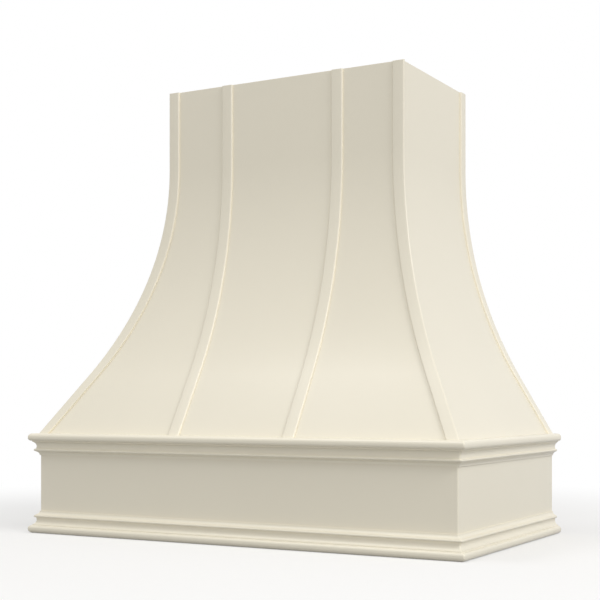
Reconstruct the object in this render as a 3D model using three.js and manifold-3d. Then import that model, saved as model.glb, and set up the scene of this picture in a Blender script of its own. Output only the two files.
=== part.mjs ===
// Wooden range hood cover for a kitchen wall: a straight chimney that sweeps out in a concave
// curve to a boxed apron with a moulding round its top and bottom edges, and flat straps over
// the curved panels. Millimetres, +Z up. The wall is at +Y, the front faces -Y, and the origin
// is on the ground under the middle of the hood.

import * as THREE from 'three';
import { mergeVertices } from 'three/addons/utils/BufferGeometryUtils.js';
import Module from 'manifold-3d';

// Overall sizes.
const hoodHeight = 1066.8;
const apronWidth = 1066.8;
const apronDepth = 585;
const apronHeight = 236.5;
const chimneyWidth = 631;
const chimneyDepth = 365;

// The flare: an arc from flareStart down to flareStraight, then a straight run to the apron.
const flareStart = 877;
const flareStraight = 373;
const flareSteps = 28;
const footOverhang = 3;

// Skins and straps of the curved shell.
const skinThickness = 6.4;
const strapThickness = 4.8;
const strapWidth = 28.6;
const strapRound = 1.5;
const innerStrapSpacing = 295.5;

// Boards of the apron and of the frame inside.
const boardThickness = 19;
const cornerRound = 3;
const ribDepth = 60;
const deckWidth = 60;
const topFrameWidth = 45;
const ledgeWidth = 50;
const ledgeRise = 19;
const railHeight = 90;
const blockSize = 40;

// Screw holes of the two wall rails, spread evenly between the end ones.
const upperHoles = 3;
const lowerHoles = 5;
const holeInset = 35;
const holeDiameter = 6;
const counterbore = 14;
const counterboreDepth = 6;
const holeSides = 20;

// Apron moulding, seen in section: nose, cove, bead and a small cove under it.
const mouldingHeight = 52;
const mouldingReach = 22.2;
const noseRound = 9;
const noseUnderRound = 7;
const noseHeight = 18;
const coveRadius = 12;
const coveBack = 7.5;
const coveFoot = 31;
const beadRadius = 2.9;
const beadMiddle = 39.5;
const beadReach = 12.4;
const smallCoveRadius = 10;
const lipReach = 2.5;
const lipHeight = 2;
const arcSteps = 7;
const roundSteps = 3;

// Clearance left where two pieces meet.
const jointGap = 0.3;

const wallY = (apronDepth + mouldingReach) / 2;
const skinFace = strapThickness;
const skinBack = skinFace + skinThickness;
const ribFace = skinBack + jointGap;

const paint = { color: 0xece5d5, roughness: 0.42, metalness: 0 };
const plywood = { color: 0xcfae7c, roughness: 0.75, metalness: 0 };
const poplar = { color: 0xd8c49a, roughness: 0.7, metalness: 0 };

const hood = new THREE.Group();
hood.name = 'range_hood_cover';

const wasm = await Module();
wasm.setup();

function addMesh(name, geometry, finish, position = [0, 0, 0]) {
  const mesh = new THREE.Mesh(geometry, new THREE.MeshStandardMaterial(finish));
  mesh.name = name;
  mesh.position.set(...position);
  hood.add(mesh);
  return mesh;
}

// Turns the triangles the other way round where they enclose a negative volume.
function faceOut(points, triangles) {
  let volume = 0;
  for (const [a, b, c] of triangles) {
    volume += points[a].dot(new THREE.Vector3().crossVectors(points[b], points[c]));
  }
  return volume < 0 ? triangles.map(([a, b, c]) => [a, c, b]) : triangles;
}

// A solid with one flat outline carried through several stations. Each station is a function
// that puts a point of the outline in space.
function sweep(outline, stations) {
  const points = stations.flatMap((station) => outline.map(station));
  const count = outline.length;
  const last = (stations.length - 1) * count;
  const triangles = [];
  for (let ring = 0; ring < last; ring += count) {
    for (let i = 0; i < count; i += 1) {
      const next = (i + 1) % count;
      triangles.push([ring + i, ring + next, ring + count + next]);
      triangles.push([ring + i, ring + count + next, ring + count + i]);
    }
  }
  const turned = THREE.ShapeUtils.area(outline) > 0;
  for (const [a, b, c] of THREE.ShapeUtils.triangulateShape(outline, [])) {
    triangles.push(turned ? [a, c, b] : [a, b, c]);
    triangles.push(turned ? [last + a, last + b, last + c] : [last + a, last + c, last + b]);
  }
  const geometry = new THREE.BufferGeometry().setFromPoints(points);
  geometry.setIndex(faceOut(points, triangles).flat());
  return geometry;
}

function toSolid(geometry) {
  const bare = geometry.clone();
  bare.deleteAttribute('normal');
  bare.deleteAttribute('uv');
  const merged = mergeVertices(bare, 1e-4);
  const vertProperties = new Float32Array(merged.attributes.position.array);
  const triVerts = new Uint32Array(merged.index.array);
  return new wasm.Manifold(new wasm.Mesh({ numProp: 3, vertProperties, triVerts }));
}

function toGeometry(solid) {
  const { vertProperties, triVerts } = solid.getMesh();
  const geometry = new THREE.BufferGeometry();
  geometry.setAttribute('position', new THREE.BufferAttribute(vertProperties, 3));
  geometry.setIndex(new THREE.BufferAttribute(triVerts, 1));
  return geometry;
}

function cut(geometry, tools) {
  const solid = tools.reduce((left, tool) => left.subtract(toSolid(tool)), toSolid(geometry));
  return toGeometry(solid);
}

// A quarter or half round of an outline, from one angle to another in degrees.
function arc(x, y, radius, from, to, steps = arcSteps) {
  const points = [];
  for (let i = 0; i <= steps; i += 1) {
    const angle = THREE.MathUtils.degToRad(from + ((to - from) * i) / steps);
    points.push(new THREE.Vector2(x + radius * Math.cos(angle), y + radius * Math.sin(angle)));
  }
  return points;
}

function rectangle(left, right, low, high) {
  return [[left, low], [right, low], [right, high], [left, high]].map(
    ([x, y]) => new THREE.Vector2(x, y),
  );
}

// A board between two corners, given as ranges along X, Y and Z.
function board(name, xs, ys, zs, finish) {
  const size = [xs, ys, zs].map(([low, high]) => high - low);
  const middle = [xs, ys, zs].map(([low, high]) => (low + high) / 2);
  return addMesh(name, new THREE.BoxGeometry(...size), finish, middle);
}

// The range from low to high, mirrored to the left where side is -1.
function mirrored(side, low, high) {
  return side > 0 ? [low, high] : [-high, -low];
}

// The flare that sweeps out by reach: its angle below flareStraight, and the arc's radius.
function flareCurve(reach) {
  const drop = flareStart - flareStraight;
  const run = flareStraight - apronHeight;
  let low = 0;
  let high = Math.PI / 2;
  for (let i = 0; i < 50; i += 1) {
    const middle = (low + high) / 2;
    const swept = drop * Math.tan(middle / 2) + run * Math.tan(middle);
    if (swept < reach) low = middle;
    else high = middle;
  }
  return { angle: low, radius: drop / Math.sin(low) };
}

const sideCurve = flareCurve(apronWidth / 2 + footOverhang - chimneyWidth / 2);
const frontCurve = flareCurve(apronDepth + footOverhang - chimneyDepth);

// How far a surface has swept out at height z. Inset is how deep it lies behind the strap
// faces, measured square to the curve.
function sweptOut(curve, z, inset) {
  const fall = Math.max(flareStart - z, 0);
  const radius = curve.radius + inset;
  if (fall < radius * Math.sin(curve.angle)) {
    return curve.radius - Math.sqrt(radius ** 2 - fall ** 2);
  }
  const drop = flareStart - flareStraight;
  const straight = (fall - drop) * Math.tan(curve.angle) - inset / Math.cos(curve.angle);
  return drop * Math.tan(curve.angle / 2) + straight;
}

function sideX(z, inset) {
  return chimneyWidth / 2 + sweptOut(sideCurve, z, inset);
}

function frontY(z, inset) {
  return wallY - chimneyDepth - sweptOut(frontCurve, z, inset);
}

// The heights at which the curved pieces have a station, from low to high.
function heights(low, high) {
  const list = [low];
  for (let i = flareSteps; i >= 0; i -= 1) {
    const z = flareStart - ((flareStart - flareStraight) * i) / flareSteps;
    if (z > low && z < high) list.push(z);
  }
  return [...list, high];
}

const shellFoot = apronHeight + jointGap;
const shellHeights = heights(shellFoot, hoodHeight);
const deckBottom = apronHeight - boardThickness;
const topFrameBottom = hoodHeight - boardThickness;
const ribHeights = heights(shellFoot, topFrameBottom - jointGap);

// The curved panels. The front one runs over the edges of the side ones.
function addPanels() {
  const panel = rectangle(-1, 1, skinFace, skinBack);
  const front = shellHeights.map(
    (z) => (p) => new THREE.Vector3(p.x * sideX(z, skinFace), frontY(z, p.y), z),
  );
  addMesh('front_panel', sweep(panel, front), paint);
  for (const [name, side] of [['left_side_panel', -1], ['right_side_panel', 1]]) {
    const stations = shellHeights.map((z) => (p) => {
      const y = p.x < 0 ? frontY(z, ribFace) : wallY;
      return new THREE.Vector3(side * sideX(z, p.y), y, z);
    });
    addMesh(name, sweep(panel, stations), paint);
  }
}

// Section of a strap: rounded arrises on its face, square at its back.
function strapOutline() {
  const half = strapWidth / 2;
  const back = strapThickness - jointGap;
  return [
    new THREE.Vector2(-half, back),
    ...arc(-half + strapRound, strapRound, strapRound, 180, 270, roundSteps),
    ...arc(half - strapRound, strapRound, strapRound, 270, 360, roundSteps),
    new THREE.Vector2(half, back),
  ];
}

function addStraps() {
  const outline = strapOutline();
  const half = strapWidth / 2;
  for (const [hand, side] of [['left', -1], ['right', 1]]) {
    const inner = shellHeights.map(
      (z) => (p) => new THREE.Vector3((side * innerStrapSpacing) / 2 + p.x, frontY(z, p.y), z),
    );
    addMesh(`${hand}_inner_strap`, sweep(outline, inner), paint);
    const corner = shellHeights.map(
      (z) => (p) => new THREE.Vector3(side * (sideX(z, 0) - half) + p.x, frontY(z, p.y), z),
    );
    addMesh(`${hand}_corner_strap`, sweep(outline, corner), paint);
    const rear = shellHeights.map(
      (z) => (p) => new THREE.Vector3(side * sideX(z, p.y), wallY - half + p.x, z),
    );
    addMesh(`${hand}_rear_strap`, sweep(outline, rear), paint);
  }
}

// Ribs behind the panels: two under the inner straps, two hips in the front corners, and on
// each side one in the middle and one against the wall, notched for the upper wall rail.
function addRibs() {
  const half = boardThickness / 2;
  const section = rectangle(-half, half, ribFace, ribFace + ribDepth);
  for (const [hand, side] of [['left', -1], ['right', 1]]) {
    const front = ribHeights.map(
      (z) => (p) => new THREE.Vector3((side * innerStrapSpacing) / 2 + p.x, frontY(z, p.y), z),
    );
    addMesh(`${hand}_front_rib`, sweep(section, front), plywood);
    const middle = ribHeights.map(
      (z) => (p) => new THREE.Vector3(side * sideX(z, p.y), wallY - chimneyDepth / 2 + p.x, z),
    );
    addMesh(`${hand}_side_rib`, sweep(section, middle), plywood);
    const rear = ribHeights.map(
      (z) => (p) => new THREE.Vector3(side * sideX(z, p.y), wallY - half + p.x, z),
    );
    addMesh(`${hand}_rear_rib`, cut(sweep(section, rear), [railNotch(side)]), plywood);
    addMesh(`${hand}_hip_rib`, hipRib(side), plywood);
  }
}

// A board on the diagonal of a front corner, with its outer edge bevelled to both panels.
function hipRib(side) {
  const bevel = boardThickness / Math.SQRT2;
  const reach = ribDepth / Math.SQRT2;
  const outline = [[0, 0], [bevel, 0], [bevel + reach, reach], [reach, bevel + reach], [0, bevel]];
  const stations = ribHeights.map((z) => (p) => {
    const x = sideX(z, ribFace) - jointGap;
    const y = frontY(z, ribFace) + jointGap;
    return new THREE.Vector3(side * (x - p.x), y + p.y, z);
  });
  return sweep(outline.map(([x, y]) => new THREE.Vector2(x, y)), stations);
}

const upperRailTop = topFrameBottom - jointGap;
const lowerRailTop = deckBottom - jointGap;
const lapDepth = boardThickness / 2;
const ribInner = sideX(upperRailTop, ribFace + ribDepth);
const ribOuter = sideX(upperRailTop, ribFace);

// The space that the end of the upper wall rail takes out of a rear rib.
function railNotch(side) {
  const low = upperRailTop - railHeight - jointGap;
  const deep = lapDepth + jointGap;
  const tool = new THREE.BoxGeometry(3 * ribDepth, 2 * deep, 2 * railHeight);
  return tool.translate((side * (ribInner + ribOuter)) / 2, wallY, low + railHeight);
}

function peg(diameter, length) {
  return new THREE.CylinderGeometry(diameter / 2, diameter / 2, length, holeSides);
}

// Counterbored screw holes through a rail, given half its length and its middle height.
function railHoles(count, halfLength, z) {
  const end = halfLength - holeInset;
  const tools = [];
  for (let i = 0; i < count; i += 1) {
    const x = -end + (2 * end * i) / (count - 1);
    tools.push(peg(holeDiameter, 3 * boardThickness).translate(x, wallY, z));
    tools.push(peg(counterbore, 2 * counterboreDepth).translate(x, wallY - boardThickness, z));
  }
  return tools;
}

// The rails that carry the hood on the wall. The upper one is half lapped into the rear ribs.
function addWallRails() {
  const shoulder = ribInner - jointGap;
  const end = ribOuter - jointGap;
  const front = wallY - boardThickness;
  const lap = wallY - lapDepth;
  const plan = [
    [-end, wallY], [-end, lap], [-shoulder, lap], [-shoulder, front],
    [shoulder, front], [shoulder, lap], [end, lap], [end, wallY],
  ].map(([x, y]) => new THREE.Vector2(x, y));
  const low = upperRailTop - railHeight;
  const blank = sweep(plan, [low, upperRailTop].map((z) => (p) => new THREE.Vector3(p.x, p.y, z)));
  const holes = railHoles(upperHoles, shoulder, low + railHeight / 2);
  addMesh('upper_wall_rail', cut(blank, holes), poplar);

  const half = apronWidth / 2 - boardThickness - jointGap;
  const lowZ = lowerRailTop - railHeight;
  const lower = new THREE.BoxGeometry(2 * half, boardThickness, railHeight);
  lower.translate(0, wallY - boardThickness / 2, lowZ + railHeight / 2);
  const lowerTools = railHoles(lowerHoles, half, lowZ + railHeight / 2);
  addMesh('lower_wall_rail', cut(lower, lowerTools), poplar);
}

// Apron boards, mitred at the front corners and eased along the outer edge.
function addApron() {
  const half = apronWidth / 2;
  const front = wallY - apronDepth;
  const slip = jointGap / 2;
  const inner = half - boardThickness;
  const turn = arc(-half + cornerRound, front + cornerRound, cornerRound, 225, 270, roundSteps);
  const frontPlan = [
    ...turn.map((p) => new THREE.Vector2(p.x + slip, p.y)),
    ...turn.map((p) => new THREE.Vector2(-p.x - slip, p.y)).reverse(),
    new THREE.Vector2(inner - slip, front + boardThickness),
    new THREE.Vector2(-inner + slip, front + boardThickness),
  ];
  const upright = [0, apronHeight].map((z) => (p) => new THREE.Vector3(p.x, p.y, z));
  addMesh('apron_front', sweep(frontPlan, upright), paint);
  const edge = arc(half - cornerRound, front + cornerRound, cornerRound, -45, 0, roundSteps);
  const sidePlan = [
    new THREE.Vector2(inner, front + boardThickness + slip),
    ...edge.map((p) => new THREE.Vector2(p.x, p.y + slip)),
    new THREE.Vector2(half, wallY),
    new THREE.Vector2(inner, wallY),
  ];
  for (const [name, side] of [['apron_left', -1], ['apron_right', 1]]) {
    const stations = [0, apronHeight].map((z) => (p) => new THREE.Vector3(side * p.x, p.y, z));
    addMesh(name, sweep(sidePlan, stations), paint);
  }
}

// Section of the moulding: x out from the apron, y down from the edge that has the nose.
function mouldingOutline() {
  const coveX = coveBack + coveRadius;
  const smallCove = arc(0, 0, smallCoveRadius, 105, 165);
  const end = smallCove[arcSteps].clone();
  const lip = new THREE.Vector2(lipReach, lipHeight - mouldingHeight);
  smallCove.forEach((p) => p.sub(end).add(lip));
  return [
    new THREE.Vector2(jointGap, 0),
    ...arc(mouldingReach - noseRound, -noseRound, noseRound, 90, 0),
    ...arc(mouldingReach - noseUnderRound, noseUnderRound - noseHeight, noseUnderRound, 0, -90),
    ...arc(coveX, -coveFoot, coveRadius, 112, 180),
    ...arc(beadReach - beadRadius, -beadMiddle, beadRadius, 110, -90),
    ...smallCove,
    new THREE.Vector2(lipReach, -mouldingHeight),
    new THREE.Vector2(jointGap, -mouldingHeight),
  ];
}

// Three lengths of moulding round the apron, mitred at the front corners. Up is 1 for the top
// edge, with the nose at the top, and -1 for the bottom edge, with the nose at the bottom.
function addMoulding(edge, noseZ, up) {
  const outline = mouldingOutline();
  const half = apronWidth / 2;
  const front = wallY - apronDepth;
  const slip = jointGap / 2;
  const across = [-1, 1].map((side) => (p) => {
    const x = side * (half + p.x - slip);
    return new THREE.Vector3(x, front - p.x, noseZ + up * p.y);
  });
  addMesh(`${edge}_moulding_front`, sweep(outline, across), paint);
  for (const [hand, side] of [['left', -1], ['right', 1]]) {
    const along = [
      (p) => new THREE.Vector3(side * (half + p.x), front - p.x + slip, noseZ + up * p.y),
      (p) => new THREE.Vector3(side * (half + p.x), wallY, noseZ + up * p.y),
    ];
    addMesh(`${edge}_moulding_${hand}`, sweep(outline, along), paint);
  }
}

// Four flat boards laid as a ring inside a rectangle that reaches back to the wall.
function addRing(name, halfWidth, frontEdge, low, width, finish) {
  const zs = [low, low + boardThickness];
  const front = [frontEdge, frontEdge + width];
  const rear = [wallY - width, wallY];
  board(`${name}_front`, [-halfWidth, halfWidth], front, zs, finish);
  board(`${name}_rear`, [-halfWidth, halfWidth], rear, zs, finish);
  const between = [front[1] + jointGap, rear[0] - jointGap];
  for (const [hand, side] of [['left', -1], ['right', 1]]) {
    board(`${name}_${hand}`, mirrored(side, halfWidth - width, halfWidth), between, zs, finish);
  }
}

function addFrames() {
  const half = apronWidth / 2 - boardThickness - jointGap;
  const front = wallY - apronDepth + boardThickness + jointGap;
  addRing('liner_ledge', half, front, ledgeRise, ledgeWidth, plywood);
  addRing('deck', half, front, deckBottom, deckWidth, plywood);
  const top = sideX(hoodHeight, ribFace);
  addRing('top_frame', top, frontY(hoodHeight, ribFace), topFrameBottom, topFrameWidth, plywood);
}

// Glue blocks that hold the apron square, between the ledge and the deck.
function addBlocks() {
  const x = apronWidth / 2 - boardThickness - jointGap;
  const front = wallY - apronDepth + boardThickness + jointGap;
  const low = ledgeRise + boardThickness + jointGap;
  const high = deckBottom - jointGap;
  const corner = [[0, 0], [blockSize, 0], [0, blockSize]].map(([a, b]) => new THREE.Vector2(a, b));
  for (const [hand, side] of [['left', -1], ['right', 1]]) {
    const stations = [low, high].map(
      (z) => (p) => new THREE.Vector3(side * (x - p.x), front + p.y, z),
    );
    addMesh(`${hand}_front_block`, sweep(corner, stations), poplar);
    const back = wallY - boardThickness - jointGap;
    board(
      `${hand}_rear_block`,
      mirrored(side, x - blockSize, x),
      [back - blockSize, back],
      [low, high],
      poplar,
    );
  }
}

addPanels();
addStraps();
addRibs();
addWallRails();
addApron();
addMoulding('top', apronHeight, 1);
addMoulding('bottom', 0, -1);
addFrames();
addBlocks();

export default hood;
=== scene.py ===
"""Looks of a wooden range hood cover: a painted shell with straps, apron and mouldings, and bare
wood inside."""

import math

import bmesh
import bpy
from mathutils import Matrix, Vector


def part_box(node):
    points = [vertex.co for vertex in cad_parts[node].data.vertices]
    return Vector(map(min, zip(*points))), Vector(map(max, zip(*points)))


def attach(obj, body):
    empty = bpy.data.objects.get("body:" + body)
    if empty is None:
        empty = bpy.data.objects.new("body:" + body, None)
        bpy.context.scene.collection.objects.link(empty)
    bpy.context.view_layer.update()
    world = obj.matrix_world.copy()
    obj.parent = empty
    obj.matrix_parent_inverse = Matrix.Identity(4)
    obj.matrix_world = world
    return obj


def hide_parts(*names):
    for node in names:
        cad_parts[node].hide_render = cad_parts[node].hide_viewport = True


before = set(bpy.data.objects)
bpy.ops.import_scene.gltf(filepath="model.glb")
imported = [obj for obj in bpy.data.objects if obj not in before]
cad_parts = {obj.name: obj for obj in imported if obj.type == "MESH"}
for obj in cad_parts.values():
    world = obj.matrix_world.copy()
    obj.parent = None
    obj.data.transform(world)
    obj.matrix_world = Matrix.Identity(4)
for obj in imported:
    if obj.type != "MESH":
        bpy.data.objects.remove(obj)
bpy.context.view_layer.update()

# Sizes of the hood in millimetres, as in the CAD source.
HOOD_HEIGHT = 1066.8
APRON_WIDTH = 1066.8
APRON_DEPTH = 585
APRON_HEIGHT = 236.5
CHIMNEY_WIDTH = 631
CHIMNEY_DEPTH = 365
FLARE_START = 877
FLARE_STRAIGHT = 373
FOOT_OVERHANG = 3
SKIN = 6.4
STRAP = 4.8
STRAP_WIDTH = 28.6
INNER_STRAP_SPACING = 295.5
BOARD = 19
CORNER_ROUND = 3
MOULDING_HEIGHT = 52
MOULDING_REACH = 22.2
NOSE_ROUND = 9
NOSE_UNDER_ROUND = 7
NOSE_HEIGHT = 18
COVE_RADIUS = 12
COVE_BACK = 7.5
COVE_FOOT = 31
BEAD_RADIUS = 2.9
BEAD_MIDDLE = 39.5
BEAD_REACH = 12.4
SMALL_COVE_RADIUS = 10
LIP_REACH = 2.5
LIP_HEIGHT = 2
WALL_Y = (APRON_DEPTH + MOULDING_REACH) / 2
SKIN_BACK = STRAP + SKIN

# Where the moulding's arcs start and end, in degrees.
COVE_TURN = (112, 180)
BEAD_TURN = (110, -90)
SMALL_COVE_TURN = (105, 165)

# How far edges are sanded round, in millimetres: the straps' long ones, the moulding's corners,
# the other edges of panels and straps, and bare wood.
STRAP_ROUND = 3
MITRE_ROUND = 4
SHELL_EASE = 0.5
WOOD_EASE = 0.7

# How far beside a moulding's corner its straight length starts, as a share of MITRE_ROUND.
CORNER_HOLD = 0.5

# How far a dressed piece laps over a seam, so that none shows as a gap.
SEAM_LAP = 0.2

# How often the search for the flare's angle halves its range, how fine the dressed pieces and
# the eased edges of bare wood are, and from which angle in degrees an edge counts as sharp.
HALVINGS = 50
FLARE_STEPS = 96
ARC_STEPS = 14
CORNER_STEPS = 6
STRAP_STEPS = 8
EASE_STEPS = 3
EASE_SAMPLES = 4
SHARP_ANGLE = 24

# The flush screws of the frame, of which only the heads show, in millimetres. Each head is
# turned SCREW_TURN radians further than the one before.
HEAD_RADIUS = 4.1
HEAD_PROUD = 0.15
HEAD_STEPS = 32
RECESS_REACH = 2.3
RECESS_HALF_WIDTH = 0.55
RECESS_FLOOR = 0.03
RECESS_TAPER = 0.8
SCREW_TURN = 0.7

# How far the screws stand from the middle of the board or joint they go into.
DECK_SCREW_OFF = 14
RAIL_SCREW_OFF = 22
UPPER_RAIL_INSET = 6

# The rings of flat boards inside the hood, and the number of plies in a plywood board.
RINGS = ("liner_ledge", "deck", "top_frame")
PLIES = 13

# sRGB tones. Each veneer has a pale tone, a tan one and one for its flecks.
PAINT_TONES = ((241, 234, 215), (239, 232, 213))
BIRCH = ((231, 208, 170), (213, 184, 140), (178, 142, 100))
LAUAN = ((206, 172, 134), (187, 148, 110), (142, 102, 72))
LONG_GRAIN_TONES = ((229, 204, 163), (206, 175, 130))
END_GRAIN_TONES = ((188, 150, 106), (160, 121, 80))
GLUE_TONE = (112, 80, 54)
POPLAR_TONES = ((228, 214, 180), (205, 186, 145))
HEART_TONE = (176, 171, 126)
FIBRE_TONE = (186, 162, 118)
ZINC_TONES = ((206, 204, 198), (178, 175, 166))
# The screw recess tones are painted shade: dark colour standing in for the shade inside a screw's
# shallow cross recess.
RECESS_SHADE_TONES = ((64, 61, 56), (40, 38, 35))
FLOOR_TONES = ((247, 246, 244), (245, 244, 242))

# Scales of the noises per metre. Those of the woods go along the grain, across it and through
# the board.
MOTTLE_SCALE = 2.2
HAZE_SCALE = 38
PEEL_SCALE = 130
CLOUD_SCALE = 420
# The scale below is that of the noise which varies the painted shade in the screw recesses.
RECESS_SHADE_SCALE = 900
FLOOR_SCALE = 60
FIGURE = (1.5, 9, 9)
VENEER_FIBRE = (16, 420, 420)
PORES = (75, 1500, 1500)
PLY_WAVER = (9, 9, 0)
LONG_GRAIN = (24, 24, 1600)
END_GRAIN = (900, 900, 900)
RING_BEND = (1.2, 5, 5)
POPLAR_FIBRE = (14, 500, 500)
HEART = (0.7, 9, 9)

# How rough the noises are, how much a veneer's figure is distorted, and between which of a
# noise's values a finish goes from one end of its range to the other.
NOISE_ROUGHNESS = 0.55
FIGURE_DISTORTION = 0.9
NOISE_SPAN = (0.3, 0.7)
MOTTLE_SPAN = (0.35, 0.65)

# Relief of the orange peel and of the wood's fibre, in metres, and the fibre's strength.
PEEL_RELIEF = 0.00003
FIBRE_RELIEF = 0.00012
FIBRE_STRENGTH = 0.6

# Each board is cut from another place of the same wood, WOOD_SHIFT metres times its seed away.
# The seed grows by a step from board to board.
WOOD_SHIFT = (1, 2.3, 1.7)
PLYWOOD_SEED_STEP = 0.37
POPLAR_SEED_STEP = 0.61

# Growth lines in radians: over a veneer's figure, which runs from 0 to 1, and over a metre of
# poplar, round a pith at PITH (across the grain and through the board) that wanders by PITH_SWAY
# metres. RING_TAPER is how fast the rings close along the grain.
FIGURE_LINES = 70
RING_LINES = 1700
PITH = (0.03, 0.09)
PITH_SWAY = 0.03
RING_TAPER = 0.02

# How far a ply's edge wavers, in plies, and the cosine below which a normal is an edge's.
PLY_SWAY = 0.35
FACE_COSINE = 0.7

# How a tone is laid over a wood: the value at which it starts, the one at which it is full, and
# its share there. The glue line's value is the distance from the middle of its ply, in plies.
FIGURE_LAY = (0.3, 0.7, 1)
GROWTH_LAY = (0.1, 1, 0.32)
FIBRE_LAY = (0.35, 0.8, 0.4)
PORE_LAY = (0.62, 0.75, 0.5)
GLUE_LAY = (0.43, 0.48, 0.7)
RING_LAY = (-0.6, 1, 0.5)
HEART_LAY = (0.5, 0.72, 0.45)
POPLAR_FIBRE_LAY = (0.4, 0.8, 0.35)

# Roughness of each finish, as its noise goes from low to high, and how strongly it mirrors.
PAINT_ROUGHNESS = (0.285, 0.31)
VENEER_ROUGHNESS = (0.5, 0.68)
PLYWOOD_ROUGHNESS = (0.52, 0.7)
POPLAR_ROUGHNESS = (0.5, 0.66)
ZINC_ROUGHNESS = (0.34, 0.5)
RECESS_ROUGHNESS = 0.6
FLOOR_ROUGHNESS = 0.9
PAINT_IOR = 1.5
PAINT_GLOSS = 0.5
WOOD_GLOSS = 0.3
FLOOR_GLOSS = 0.2

# The floor reaches FLOOR_REACH metres each way, and throws FLOOR_BOUNCE of the light that meets
# it back on the hood. The camera sees a share of plain white in it, FLOOR_WHITE up to the first
# radius of FLOOR_FADE, in metres, and all of it from the second.
FLOOR_REACH = 30.0
FLOOR_BOUNCE = 0.32
FLOOR_FADE = (0.8, 2.0)
FLOOR_WHITE = 0.4

# The level of the light from all round, where a white background is 1.
SKY_LEVEL = 0.49

# How far the lamps stand from the point they light, in metres, and for each its azimuth and
# elevation in degrees, its watts and its size in metres.
LAMP_DISTANCE = 8
LAMP_AIM = (0, 0, 0.5)
LAMPS = (
    ("right_light", 80, 35, 240, 3.2),
    ("key_light", 50, 45, 56, 1.2),
    ("front_light", 20, 10, 88, 3.2),
    ("left_light", -60, 62, 124, 3.2),
)

# The camera, as fitted to the photograph: its lens and sensor in millimetres, its shift in frame
# widths, its place in metres, and how far it is turned from facing the wall, in degrees.
LENS = 74.237
SENSOR = 36
SHIFT = 0.16743
CAMERA_X = 1.45469
CAMERA_FROM_WALL = 2.85096
CAMERA_Z = 0.31453
CAMERA_TURN = 29.418

X, Y, Z = (1, 0, 0), (0, 1, 0), (0, 0, 1)
DOWN = (0, 0, -1)
HANDS = (("left", -1), ("right", 1))
MM = 0.001


# ---------------------------------------------------------------- materials

class Graph:
    """A material's node tree, with short ways to add nodes to it."""

    def __init__(self, name):
        self.material = bpy.data.materials.new(name)
        self.material.use_nodes = True
        self.tree = self.material.node_tree
        self.shader = self.tree.nodes["Principled BSDF"]

    def node(self, kind, inputs=None, **settings):
        """Adds a node, with a value or link for each input named, and its settings."""
        made = self.tree.nodes.new(kind)
        for key, value in settings.items():
            setattr(made, key, value)
        for key, value in (inputs or {}).items():
            self.put(made.inputs[key], value)
        return made

    def put(self, socket, value):
        """Links another node's socket to this one, or sets this one's own value."""
        if isinstance(value, bpy.types.NodeSocket):
            self.tree.links.new(value, socket)
        else:
            socket.default_value = value

    def math(self, operation, *values):
        """The result of an operation on numbers or sockets."""
        made = self.node("ShaderNodeMath", operation=operation)
        for socket, value in zip(made.inputs, values):
            self.put(socket, value)
        return made.outputs[0]

    def noise(self, vector, scale, detail, distortion=0.0):
        """Noise between 0 and 1, of which a higher scale gives a finer one."""
        made = self.node("ShaderNodeTexNoise", {
            "Vector": vector, "Scale": scale, "Detail": detail,
            "Roughness": NOISE_ROUGHNESS, "Distortion": distortion,
        })
        return made.outputs["Fac"]

    def spread(self, value, low, high, to_low, to_high, smooth=False):
        """The value with its range from low to high turned into the one from to_low to to_high."""
        made = self.node("ShaderNodeMapRange", {
            "Value": value, "From Min": low, "From Max": high,
            "To Min": to_low, "To Max": to_high,
        })
        if smooth:
            made.interpolation_type = "SMOOTHSTEP"
        return made.outputs["Result"]

    def blend(self, factor, first, second):
        """The first colour where factor is 0, and the second where it is 1."""
        made = self.node("ShaderNodeMix", data_type="RGBA")
        self.put(made.inputs["Factor"], factor)
        self.put(made.inputs["A"], first)
        self.put(made.inputs["B"], second)
        return made.outputs["Result"]

    def place(self):
        """The place on the piece, in metres in the hood's frame."""
        return self.node("ShaderNodeTexCoord").outputs["Object"]

    def dot(self, vector, axis):
        """How far a vector reaches along an axis."""
        made = self.node("ShaderNodeVectorMath", {0: vector, 1: axis}, operation="DOT_PRODUCT")
        return made.outputs["Value"]

    def point(self, *parts):
        """A point made of (value, scale) pairs, one for each axis."""
        scaled = [self.math("MULTIPLY", value, scale) for value, scale in parts]
        made = self.node("ShaderNodeCombineXYZ", dict(zip("XYZ", scaled)))
        return made.outputs["Vector"]

    def tones(self, factor, pair):
        """A blend from one sRGB tone to another."""
        return self.blend(factor, linear(pair[0]), linear(pair[1]))

    def lay(self, colour, tone, value, low, high, share):
        """The colour with a tone over it: none of it where value is low, share of it where high."""
        return self.blend(self.spread(value, low, high, 0, share), colour, linear(tone))

    def streaks(self, place, scales, detail, distortion=0.0):
        """Noise with a scale of its own along each axis of a place."""
        return self.noise(self.point(*zip(place, scales)), 1.0, detail, distortion)

    def bump(self, height, distance, strength=1.0, normal=None):
        """The normal of a relief, distance metres high where height is 1."""
        made = self.node("ShaderNodeBump", {
            "Height": height, "Distance": distance, "Strength": strength,
        })
        if normal is not None:
            self.put(made.inputs["Normal"], normal)
        return made.outputs["Normal"]


def linear(tone):
    """Scene-linear colour of an sRGB tone given in 0 to 255."""
    def one(value):
        value /= 255
        return value / 12.92 if value <= 0.04045 else ((value + 0.055) / 1.055) ** 2.4
    return (*(one(value) for value in tone), 1.0)


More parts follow.
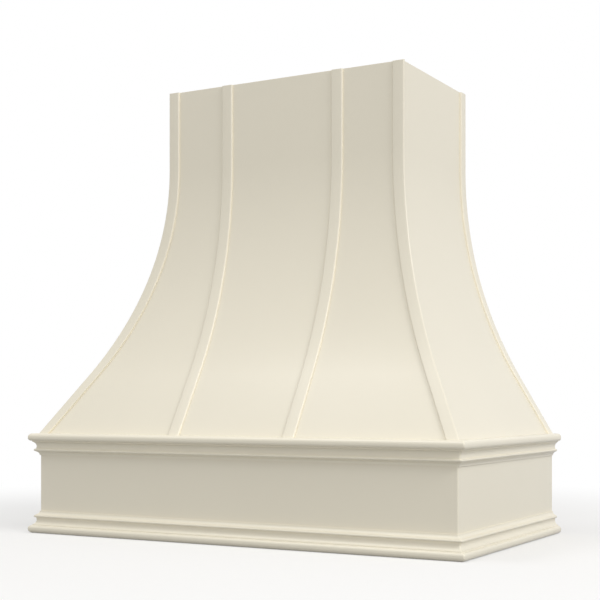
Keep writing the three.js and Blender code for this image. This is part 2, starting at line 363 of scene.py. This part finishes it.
def paint_material():
    """Sprayed antique-white satin lacquer with a faint orange peel and mottle."""
    graph = Graph("cream_satin_paint")
    place = graph.place()
    mottle = graph.spread(graph.noise(place, MOTTLE_SCALE, 2.0), *MOTTLE_SPAN, 0, 1)
    haze = graph.noise(place, HAZE_SCALE, 4.0)
    peel = graph.noise(place, PEEL_SCALE, 2.0)
    shader = graph.shader
    graph.put(shader.inputs["Base Color"], graph.tones(mottle, PAINT_TONES))
    graph.put(shader.inputs["Roughness"], graph.spread(haze, *NOISE_SPAN, *PAINT_ROUGHNESS))
    graph.put(shader.inputs["Normal"], graph.bump(peel, PEEL_RELIEF))
    shader.inputs["IOR"].default_value = PAINT_IOR
    shader.inputs["Specular IOR Level"].default_value = PAINT_GLOSS
    return graph.material


def wood_place(graph, along, thick, seed):
    """Place on a board in metres: along its grain, across it, and square to its faces."""
    shifted = graph.node("ShaderNodeVectorMath", {
        0: graph.place(), 1: tuple(step * seed for step in WOOD_SHIFT),
    })
    across = Vector(thick).cross(Vector(along))
    return [graph.dot(shifted.outputs["Vector"], axis) for axis in (along, across, thick)]


def veneer_colour(graph, place, veneer):
    """Figure, growth lines, fibre and pores of a veneer, with the height of its fibre."""
    pale, tan, fleck = veneer
    figure = graph.streaks(place, FIGURE, 3.0, FIGURE_DISTORTION)
    growth = graph.math("SINE", graph.math("MULTIPLY", figure, FIGURE_LINES))
    fibre = graph.streaks(place, VENEER_FIBRE, 3.0)
    pore = graph.streaks(place, PORES, 1.0)
    colour = graph.lay(linear(pale), tan, figure, *FIGURE_LAY)
    colour = graph.lay(colour, fleck, growth, *GROWTH_LAY)
    colour = graph.lay(colour, fleck, fibre, *FIBRE_LAY)
    colour = graph.lay(colour, fleck, pore, *PORE_LAY)
    return colour, fibre


def finish_wood(graph, colour, fibre, roughness):
    """Roughness and relief from the fibre, and edges eased as a sanding block eases them."""
    graph.put(graph.shader.inputs["Base Color"], colour)
    graph.put(graph.shader.inputs["Roughness"], graph.spread(fibre, *NOISE_SPAN, *roughness))
    graph.shader.inputs["Specular IOR Level"].default_value = WOOD_GLOSS
    eased = graph.node("ShaderNodeBevel", {"Radius": WOOD_EASE * MM}, samples=EASE_SAMPLES)
    normal = graph.bump(fibre, FIBRE_RELIEF, FIBRE_STRENGTH, eased.outputs["Normal"])
    graph.put(graph.shader.inputs["Normal"], normal)
    return graph.material


def veneer_material(name, along, thick, veneer, seed):
    """The bare face of a veneered sheet."""
    graph = Graph(name)
    place = wood_place(graph, along, thick, seed)
    colour, fibre = veneer_colour(graph, place, veneer)
    return finish_wood(graph, colour, fibre, VENEER_ROUGHNESS)


def plywood_material(name, along, thick, face, seed):
    """Birch plywood: veneer on its faces, and on its edges the plies with glue lines between
    them. face is where one of the faces lies along thick, in metres."""
    graph = Graph(name)
    place = wood_place(graph, along, thick, seed)
    grain, across, _ = place
    colour, fibre = veneer_colour(graph, place, BIRCH)
    depth = graph.math("SUBTRACT", graph.dot(graph.place(), thick), face)
    ply = graph.math("DIVIDE", depth, BOARD * MM / PLIES)
    waver = graph.streaks((grain, across, grain), PLY_WAVER, 2.0)
    waver = graph.math("SUBTRACT", waver, 0.5)
    ply = graph.math("ADD", ply, graph.math("MULTIPLY", waver, PLY_SWAY))
    # Two whole plies more keep the number above 0 where the waver takes it below.
    cross = graph.math("MODULO", graph.math("FLOOR", graph.math("ADD", ply, 2)), 2)
    inside = (grain, across, depth)
    long_grain = graph.tones(graph.streaks(inside, LONG_GRAIN, 2.0), LONG_GRAIN_TONES)
    end_grain = graph.tones(graph.streaks(inside, END_GRAIN, 2.0), END_GRAIN_TONES)
    edge = graph.blend(cross, long_grain, end_grain)
    middle = graph.math("ABSOLUTE", graph.math("SUBTRACT", graph.math("FRACT", ply), 0.5))
    edge = graph.lay(edge, GLUE_TONE, middle, *GLUE_LAY)
    normal = graph.node("ShaderNodeNewGeometry").outputs["True Normal"]
    facing = graph.math("ABSOLUTE", graph.dot(normal, thick))
    colour = graph.blend(graph.math("LESS_THAN", facing, FACE_COSINE), colour, edge)
    return finish_wood(graph, colour, fibre, PLYWOOD_ROUGHNESS)


def poplar_material(name, along, thick, seed):
    """Planed poplar: growth rings about a pith well outside the board, and a greenish heart."""
    graph = Graph(name)
    place = wood_place(graph, along, thick, seed)
    bend = graph.streaks(place, RING_BEND, 2.0)
    ring = graph.node("ShaderNodeVectorMath", {
        0: graph.point(*zip(place, (RING_TAPER, 1, 1))), 1: (0, *PITH),
    }, operation="DISTANCE").outputs["Value"]
    ring = graph.math("ADD", ring, graph.math("MULTIPLY", bend, PITH_SWAY))
    growth = graph.math("SINE", graph.math("MULTIPLY", ring, RING_LINES))
    fibre = graph.streaks(place, POPLAR_FIBRE, 3.0)
    heart = graph.streaks(place, HEART, 2.0)
    pale, tan = POPLAR_TONES
    colour = graph.lay(linear(pale), tan, growth, *RING_LAY)
    colour = graph.lay(colour, HEART_TONE, heart, *HEART_LAY)
    colour = graph.lay(colour, FIBRE_TONE, fibre, *POPLAR_FIBRE_LAY)
    return finish_wood(graph, colour, fibre, POPLAR_ROUGHNESS)


def zinc_material():
    """Zinc-plated steel of a screw head, with the faint cloudiness of the plating."""
    graph = Graph("zinc_plated_steel")
    cloud = graph.noise(graph.place(), CLOUD_SCALE, 3.0)
    graph.put(graph.shader.inputs["Base Color"], graph.tones(cloud, ZINC_TONES))
    roughness = graph.spread(cloud, *NOISE_SPAN, *ZINC_ROUGHNESS)
    graph.put(graph.shader.inputs["Roughness"], roughness)
    graph.shader.inputs["Metallic"].default_value = 1.0
    return graph.material


def recess_shade_material():
    """The cross recess of a screw head, coloured dark as painted shade for the little light that
    gets into a real recess, since this one is too shallow to shade itself.
    """
    graph = Graph("screw_recess_painted_shade")
    # Noise that varies the painted shade between its two dark tones; it is not dirt.
    recess_shade_noise = graph.noise(graph.place(), RECESS_SHADE_SCALE, 2.0)
    graph.put(graph.shader.inputs["Base Color"], graph.tones(recess_shade_noise, RECESS_SHADE_TONES))
    graph.shader.inputs["Roughness"].default_value = RECESS_ROUGHNESS
    return graph.material


PAINT = paint_material()
RAW_PANEL_X = veneer_material("raw_bending_ply_x", X, Y, LAUAN, 0.0)
RAW_PANEL_Y = veneer_material("raw_bending_ply_y", Y, X, LAUAN, 0.7)
RAW_APRON_X = veneer_material("raw_birch_x", X, Y, BIRCH, 1.3)
RAW_APRON_Y = veneer_material("raw_birch_y", Y, X, BIRCH, 2.1)
ZINC = zinc_material()
RECESS = recess_shade_material()


def dress_boards():
    """Gives each bare board of the frame inside its own piece of wood."""
    slant = math.sqrt(0.5)
    upright_x = [f"{hand}_front_rib" for hand, _ in HANDS]
    upright_y = [f"{hand}_{place}_rib" for hand, _ in HANDS for place in ("side", "rear")]
    flat_x = [f"{ring}_{end}" for ring in RINGS for end in ("front", "rear")]
    flat_y = [f"{ring}_{end}" for ring in RINGS for end in ("left", "right")]
    plan = [(node, Z, X) for node in upright_x] + [(node, Z, Y) for node in upright_y]
    plan += [(node, X, Z) for node in flat_x] + [(node, Y, Z) for node in flat_y]
    # Known fault, found when the looks were final: each hip rib is thin along the other diagonal,
    # so its broad faces show the plies and its edges the veneer.
    plan += [("left_hip_rib", Z, (slant, slant, 0)), ("right_hip_rib", Z, (slant, -slant, 0))]
    for number, (node, along, thick) in enumerate(plan):
        low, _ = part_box(node)
        if node.endswith("hip_rib"):
            foot = side_x(APRON_HEIGHT, SKIN_BACK) + front_y(APRON_HEIGHT, SKIN_BACK)
            face = slant * foot * MM
        else:
            face = Vector(low).dot(Vector(thick))
        seed = PLYWOOD_SEED_STEP * number
        wood = plywood_material(f"birch_plywood_{node}", along, thick, face, seed)
        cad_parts[node].material_slots[0].material = wood
    rails = [("upper_wall_rail", X, Y), ("lower_wall_rail", X, Y)]
    blocks = [(f"{hand}_{end}_block", Z, X) for hand, _ in HANDS for end in ("front", "rear")]
    for number, (node, along, thick) in enumerate(rails + blocks):
        wood = poplar_material(f"poplar_{node}", along, thick, POPLAR_SEED_STEP * number)
        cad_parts[node].material_slots[0].material = wood


# ------------------------------------------------------------------ shapes

def flare_curve(reach):
    """(angle below FLARE_STRAIGHT, radius of the arc) of a flare that sweeps out by reach."""
    drop = FLARE_START - FLARE_STRAIGHT
    run = FLARE_STRAIGHT - APRON_HEIGHT
    low, high = 0.0, math.pi / 2
    for _ in range(HALVINGS):
        middle = (low + high) / 2
        if drop * math.tan(middle / 2) + run * math.tan(middle) < reach:
            low = middle
        else:
            high = middle
    return low, drop / math.sin(low)


SIDE_CURVE = flare_curve(APRON_WIDTH / 2 + FOOT_OVERHANG - CHIMNEY_WIDTH / 2)
FRONT_CURVE = flare_curve(APRON_DEPTH + FOOT_OVERHANG - CHIMNEY_DEPTH)


def swept_out(curve, z, inset):
    """How far a surface has swept out at height z, lying inset behind the strap faces."""
    angle, arc_radius = curve
    fall = max(FLARE_START - z, 0)
    radius = arc_radius + inset
    if fall < radius * math.sin(angle):
        return arc_radius - math.sqrt(radius ** 2 - fall ** 2)
    drop = FLARE_START - FLARE_STRAIGHT
    straight = (fall - drop) * math.tan(angle) - inset / math.cos(angle)
    return drop * math.tan(angle / 2) + straight


def side_x(z, inset):
    """How far from the middle a side's surface stands, inset behind the strap faces."""
    return CHIMNEY_WIDTH / 2 + swept_out(SIDE_CURVE, z, inset)


def front_y(z, inset):
    """Where the front's surface stands, inset behind the strap faces."""
    return WALL_Y - CHIMNEY_DEPTH - swept_out(FRONT_CURVE, z, inset)


def shell_heights():
    """Heights of the stations of a curved piece, from its foot to the top of the chimney."""
    foot = APRON_HEIGHT - SEAM_LAP
    rise = FLARE_START - foot
    flare = [foot + rise * i / FLARE_STEPS for i in range(FLARE_STEPS + 1)]
    return flare + [(FLARE_START + HOOD_HEIGHT) / 2, HOOD_HEIGHT]


def arc(x, y, radius, start, end, steps=ARC_STEPS):
    """Points on a circle round (x, y), from start to end in degrees."""
    turns = [math.radians(start + (end - start) * i / steps) for i in range(steps + 1)]
    return [(x + radius * math.cos(a), y + radius * math.sin(a)) for a in turns]


def sweep(name, outline, stations, node, raw=(), bare=None, ease=SHELL_EASE):
    """Builds a closed solid, one outline carried through stations, for a CAD node. raw holds
    the numbers of the outline's edges whose faces are left unpainted, in the bare wood."""
    count = len(outline)
    points = [Vector(station(*p)) * MM for station in stations for p in outline]
    faces, marks = [], []
    for ring in range(len(stations) - 1):
        for i in range(count):
            near, after = ring * count + i, ring * count + (i + 1) % count
            faces.append((near, after, after + count, near + count))
            marks.append(1 if i in raw else 0)
    last = (len(stations) - 1) * count
    faces += [tuple(range(count)), tuple(range(last, last + count))]
    marks += [0, 0]
    mesh = bpy.data.meshes.new(name)
    mesh.from_pydata(points, [], faces)
    mesh.polygons.foreach_set("material_index", marks)
    mesh.polygons.foreach_set("use_smooth", [True] * len(faces))
    mesh.materials.append(PAINT)
    if bare:
        mesh.materials.append(bare)
    dress(name, mesh, node, ease)


def dress(name, mesh, node, ease):
    """Makes the mesh a painted piece of the hood, its sharp edges eased by ease millimetres, or
    left as they are where ease is 0."""
    work = bmesh.new()
    work.from_mesh(mesh)
    bmesh.ops.recalc_face_normals(work, faces=work.faces)
    work.to_mesh(mesh)
    work.free()
    piece = bpy.data.objects.new(name, mesh)
    bpy.context.scene.collection.objects.link(piece)
    if not ease:
        mesh.set_sharp_from_angle(angle=math.radians(SHARP_ANGLE))
    else:
        bevel = piece.modifiers.new("eased_edges", "BEVEL")
        bevel.width = ease * MM
        bevel.segments = EASE_STEPS
        bevel.limit_method = "ANGLE"
        bevel.angle_limit = math.radians(SHARP_ANGLE)
        bevel.harden_normals = True
        bevel.use_clamp_overlap = True
    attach(piece, "root")
    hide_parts(node)


def build_panels():
    """The curved panels: the front one, and the side ones that end against its back."""
    heights = shell_heights()
    outline = [(-1, STRAP), (1, STRAP), (1, SKIN_BACK), (-1, SKIN_BACK)]
    front = [
        lambda u, v, z=z: (u * side_x(z, STRAP), front_y(z, v), z) for z in heights
    ]
    sweep("painted_front_panel", outline, front, "front_panel", raw=(2,), bare=RAW_PANEL_X)
    for hand, side in HANDS:
        stations = [
            lambda u, v, z=z: (
                side * side_x(z, v),
                front_y(z, SKIN_BACK - SEAM_LAP) if u < 0 else WALL_Y,
                z,
            )
            for z in heights
        ]
        name = f"{hand}_side_panel"
        sweep(f"painted_{name}", outline, stations, name, raw=(1, 2), bare=RAW_PANEL_Y)


def build_straps():
    """The flat straps over the panels, their long edges sanded round."""
    half = STRAP_WIDTH / 2
    back = STRAP + SEAM_LAP
    outline = [
        (-half, back),
        *arc(-half + STRAP_ROUND, STRAP_ROUND, STRAP_ROUND, 180, 270, STRAP_STEPS),
        *arc(half - STRAP_ROUND, STRAP_ROUND, STRAP_ROUND, 270, 360, STRAP_STEPS),
        (half, back),
    ]
    heights = shell_heights()
    for hand, side in HANDS:
        inner = [
            lambda u, v, z=z: (side * INNER_STRAP_SPACING / 2 + u, front_y(z, v), z)
            for z in heights
        ]
        corner = [
            lambda u, v, z=z: (side * (side_x(z, 0) - half) + u, front_y(z, v), z)
            for z in heights
        ]
        rear = [
            lambda u, v, z=z: (side * side_x(z, v), WALL_Y - half + u, z) for z in heights
        ]
        for place, stations in (("inner", inner), ("corner", corner), ("rear", rear)):
            node = f"{hand}_{place}_strap"
            sweep(f"painted_{node}", outline, stations, node)


def build_apron():
    """The apron's three boards, mitred at the front corners and bare inside."""
    half = APRON_WIDTH / 2
    front = WALL_Y - APRON_DEPTH
    inner = half - BOARD
    turn = arc(-half + CORNER_ROUND, front + CORNER_ROUND, CORNER_ROUND, 225, 270, CORNER_STEPS)
    plan = [
        *turn,
        *[(-x, y) for x, y in reversed(turn)],
        (inner, front + BOARD),
        (-inner, front + BOARD),
    ]
    upright = [lambda u, v, z=z: (u, v, z) for z in (0, APRON_HEIGHT)]
    back = (len(plan) - 2,)
    sweep("painted_apron_front", plan, upright, "apron_front", back, RAW_APRON_X, ease=0)
    edge = arc(half - CORNER_ROUND, front + CORNER_ROUND, CORNER_ROUND, -45, 0, CORNER_STEPS)
    plan = [(inner, front + BOARD), *edge, (half, WALL_Y), (inner, WALL_Y)]
    for hand, side in HANDS:
        upright = [lambda u, v, z=z: (side * u, v, z) for z in (0, APRON_HEIGHT)]
        back = (len(plan) - 1, len(plan) - 2)
        name = f"apron_{hand}"
        sweep(f"painted_{name}", plan, upright, name, back, RAW_APRON_Y, ease=0)


def moulding_outline():
    """Section of the moulding: points (out from the apron, up from the nose's edge)."""
    small = arc(0, 0, SMALL_COVE_RADIUS, *SMALL_COVE_TURN)
    end_x, end_y = small[-1]
    small = [(x - end_x + LIP_REACH, y - end_y + LIP_HEIGHT - MOULDING_HEIGHT) for x, y in small]
    under_x = MOULDING_REACH - NOSE_UNDER_ROUND
    return [
        (-SEAM_LAP, 0),
        *arc(MOULDING_REACH - NOSE_ROUND, -NOSE_ROUND, NOSE_ROUND, 90, 0),
        *arc(under_x, NOSE_UNDER_ROUND - NOSE_HEIGHT, NOSE_UNDER_ROUND, 0, -90),
        *arc(COVE_BACK + COVE_RADIUS, -COVE_FOOT, COVE_RADIUS, *COVE_TURN),
        *arc(BEAD_REACH - BEAD_RADIUS, -BEAD_MIDDLE, BEAD_RADIUS, *BEAD_TURN),
        *small,
        (LIP_REACH, -MOULDING_HEIGHT),
        (-SEAM_LAP, -MOULDING_HEIGHT),
    ]


def build_moulding(edge, nose_z, up):
    """The three lengths of moulding round an edge of the apron, with the nose's edge at nose_z.
    up is 1 for the right way up, and -1 for upside down."""
    outline = moulding_outline()
    half = APRON_WIDTH / 2
    front = WALL_Y - APRON_DEPTH

    def corner(side, turn):
        """The station on a rounded corner, turn of the way round from the front to the side.
        Before 0 and after 1 it lies beside the corner, which keeps the straight length's shading
        free of the corner's."""
        angle = min(max(turn, 0), 1) * math.pi / 2
        inward = MITRE_ROUND * (1 - math.sin(angle) + max(-turn, 0))
        back = MITRE_ROUND * (1 - math.cos(angle) + max(turn - 1, 0))
        return lambda u, v: (side * (half + u - inward), front - u + back, nose_z + up * v)

    turns = [-CORNER_HOLD, *[i / CORNER_STEPS / 2 for i in range(CORNER_STEPS + 1)]]
    across = [corner(-1, turn) for turn in reversed(turns)] + [corner(1, turn) for turn in turns]
    name = f"{edge}_moulding_front"
    sweep(f"painted_{name}", outline, across, name, ease=0)
    for hand, side in HANDS:
        along = [corner(side, 1 - turn) for turn in reversed(turns)]
        along.append(lambda u, v: (side * (half + u), WALL_Y, nose_z + up * v))
        name = f"{edge}_moulding_{hand}"
        sweep(f"painted_{name}", outline, along, name, ease=0)


def head_rings():
    """A screw head as rings of points, from its rim in to the floor of its cross recess."""
    turns = [math.tau * i / HEAD_STEPS for i in range(HEAD_STEPS)]

    def cross(turn):
        off = abs((turn + math.pi / 4) % (math.pi / 2) - math.pi / 4)
        if math.tan(off) * RECESS_REACH < RECESS_HALF_WIDTH:
            return RECESS_REACH / math.cos(off)
        return RECESS_HALF_WIDTH / math.sin(off)

    def ring(reach, height):
        return [(reach(t) * math.cos(t), reach(t) * math.sin(t), height) for t in turns]

    return [
        *ring(lambda t: HEAD_RADIUS, -HEAD_PROUD),
        *ring(lambda t: HEAD_RADIUS, HEAD_PROUD / 2),
        *ring(lambda t: HEAD_RADIUS - HEAD_PROUD, HEAD_PROUD),
        *ring(cross, HEAD_PROUD),
        *ring(lambda t: RECESS_TAPER * cross(t), RECESS_FLOOR),
    ]


def build_screws(name, spots, out):
    """The heads of some screws, flush in the wood, each turned as the driver left it."""
    seat = Vector(out).to_track_quat("Z", "X").to_matrix()
    head = [Vector(point) for point in head_rings()]
    levels = len(head) // HEAD_STEPS
    points, faces, marks = [], [], []
    for number, spot in enumerate(spots):
        first = len(points)
        turned = seat @ Matrix.Rotation(SCREW_TURN * number, 3, "Z")
        points += [(Vector(spot) + turned @ point) * MM for point in head]
        for level in range(levels - 1):
            ring = first + level * HEAD_STEPS
            for i in range(HEAD_STEPS):
                near, after = ring + i, ring + (i + 1) % HEAD_STEPS
                faces.append((near, after, after + HEAD_STEPS, near + HEAD_STEPS))
                # The recess's walls, and below its floor, get the second material, which is painted
                # shade.
                marks.append(1 if level == levels - 2 else 0)
        faces.append(tuple(range(first + HEAD_STEPS - 1, first - 1, -1)))
        faces.append(tuple(range(len(points) - HEAD_STEPS, len(points))))
        marks += [0, 1]
    mesh = bpy.data.meshes.new(name)
    mesh.from_pydata(points, [], faces)
    mesh.materials.append(ZINC)
    # The second material is the recess's painted shade.
    mesh.materials.append(RECESS)
    mesh.polygons.foreach_set("material_index", marks)
    piece = bpy.data.objects.new(name, mesh)
    bpy.context.scene.collection.objects.link(piece)
    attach(piece, "root")


def box_middle(node):
    """The middle of a node's box, in millimetres."""
    low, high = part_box(node)
    return [(a + b) / 2 / MM for a, b in zip(low, high)]


def screw_down():
    """Screws where the boards of the frame meet."""
    rib_x, _, _ = box_middle("right_front_rib")
    _, side_y, _ = box_middle("right_side_rib")
    _, front_ring_y, _ = box_middle("top_frame_front")
    _, rear_ring_y, _ = box_middle("top_frame_rear")
    ring_x, _, _ = box_middle("top_frame_right")
    _, deck_y, _ = box_middle("deck_front")
    deck_x, _, _ = box_middle("deck_right")
    block_x, front_block_y, _ = box_middle("right_front_block")
    _, rear_block_y, _ = box_middle("right_rear_block")
    top = [(rib_x, front_ring_y), (ring_x, front_ring_y), (ring_x, side_y), (ring_x, rear_ring_y)]
    pair = (-DECK_SCREW_OFF, DECK_SCREW_OFF)
    deck = [(rib_x, deck_y + off) for off in pair] + [(deck_x + off, side_y) for off in pair]
    ledge = [(block_x, front_block_y), (block_x, rear_block_y)]
    for name, spots, node, end, out in (
        ("top_frame_screws", top, "top_frame_front", 1, Z),
        ("deck_screws", deck, "deck_front", 0, DOWN),
        ("ledge_screws", ledge, "liner_ledge_front", 0, DOWN),
    ):
        # end is the corner of the node's box that lies in the face with the screws.
        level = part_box(node)[end][2] / MM
        build_screws(name, [(side * x, y, level) for x, y in spots for _, side in HANDS], out)
    for name, node, x in (
        ("upper_rail_screws", "upper_wall_rail", ring_x - UPPER_RAIL_INSET),
        ("lower_rail_screws", "lower_wall_rail", block_x),
    ):
        level = box_middle(node)[2]
        rises = (-RAIL_SCREW_OFF, RAIL_SCREW_OFF)
        spots = [(side * x, WALL_Y, level + rise) for rise in rises for _, side in HANDS]
        build_screws(name, spots, Y)


dress_boards()
build_panels()
build_straps()
build_apron()
build_moulding("top", APRON_HEIGHT, 1)
build_moulding("bottom", 0, -1)
screw_down()


# ------------------------------------------------------- floor, light, camera

def build_floor():
    """A plain pale floor that fades to white for the camera well away from the hood."""
    half = FLOOR_REACH
    corners = [(-half, -half, 0), (half, -half, 0), (half, half, 0), (-half, half, 0)]
    mesh = bpy.data.meshes.new("floor")
    mesh.from_pydata(corners, [], [(0, 1, 2, 3)])
    floor = bpy.data.objects.new("floor", mesh)
    bpy.context.scene.collection.objects.link(floor)
    graph = Graph("pale_floor")
    place = graph.place()
    colour = graph.tones(graph.noise(place, FLOOR_SCALE, 3.0), FLOOR_TONES)
    path = graph.node("ShaderNodeLightPath")
    dim = (FLOOR_BOUNCE, FLOOR_BOUNCE, FLOOR_BOUNCE, 1)
    bounce = graph.blend(path.outputs["Is Diffuse Ray"], colour, dim)
    graph.put(graph.shader.inputs["Base Color"], bounce)
    graph.shader.inputs["Roughness"].default_value = FLOOR_ROUGHNESS
    graph.shader.inputs["Specular IOR Level"].default_value = FLOOR_GLOSS
    away = graph.node("ShaderNodeVectorMath", {0: place}, operation="LENGTH").outputs["Value"]
    fade = graph.spread(away, *FLOOR_FADE, FLOOR_WHITE, 1, smooth=True)
    seen = graph.math("MAXIMUM", path.outputs["Is Camera Ray"], path.outputs["Is Glossy Ray"])
    white = graph.node("ShaderNodeEmission", {"Color": (1, 1, 1, 1), "Strength": 1.0})
    mix = graph.node("ShaderNodeMixShader", {0: graph.math("MULTIPLY", fade, seen)})
    graph.put(mix.inputs[1], graph.shader.outputs[0])
    graph.put(mix.inputs[2], white.outputs[0])
    graph.put(graph.tree.nodes["Material Output"].inputs["Surface"], mix.outputs[0])
    graph.material.cycles.emission_sampling = "NONE"
    mesh.materials.append(graph.material)


def build_world():
    """Even white light from all round; the camera and reflections see a white background."""
    world = bpy.data.worlds.new("studio")
    bpy.context.scene.world = world
    world.use_nodes = True
    tree = world.node_tree
    path = tree.nodes.new("ShaderNodeLightPath")
    seen = tree.nodes.new("ShaderNodeMath")
    seen.operation = "MAXIMUM"
    tree.links.new(path.outputs["Is Camera Ray"], seen.inputs[0])
    tree.links.new(path.outputs["Is Glossy Ray"], seen.inputs[1])
    level = tree.nodes.new("ShaderNodeMapRange")
    level.inputs["To Min"].default_value = SKY_LEVEL
    tree.links.new(seen.outputs[0], level.inputs["Value"])
    light = tree.nodes["Background"]
    light.inputs["Color"].default_value = (1, 1, 1, 1)
    tree.links.new(level.outputs["Result"], light.inputs["Strength"])


def add_lamp(name, azimuth, elevation, power, size):
    """A soft square lamp. Azimuth 0 is in front of the hood, and 90 on its right."""
    turn, rise = math.radians(azimuth), math.radians(elevation)
    away = Vector((
        math.sin(turn) * math.cos(rise), -math.cos(turn) * math.cos(rise), math.sin(rise),
    ))
    lamp = bpy.data.lights.new(name, "AREA")
    lamp.shape = "SQUARE"
    lamp.size = size
    lamp.energy = power
    holder = bpy.data.objects.new(name, lamp)
    holder.location = Vector(LAMP_AIM) + away * LAMP_DISTANCE
    holder.rotation_euler = (-away).to_track_quat("-Z", "Y").to_euler()
    holder.visible_camera = False
    bpy.context.scene.collection.objects.link(holder)


def build_camera():
    """The photograph's view: level, from the front right, with the upright lines kept upright."""
    camera = bpy.data.cameras.new("camera")
    camera.sensor_width = SENSOR
    camera.lens = LENS
    camera.shift_y = SHIFT
    holder = bpy.data.objects.new("camera", camera)
    holder.location = (CAMERA_X, WALL_Y * MM - CAMERA_FROM_WALL, CAMERA_Z)
    holder.rotation_euler = (math.radians(90), 0, math.radians(CAMERA_TURN))
    bpy.context.scene.collection.objects.link(holder)
    bpy.context.scene.camera = holder


build_floor()
build_world()
for row in LAMPS:
    add_lamp(*row)
build_camera()
bpy.context.scene.view_settings.view_transform = "Standard"
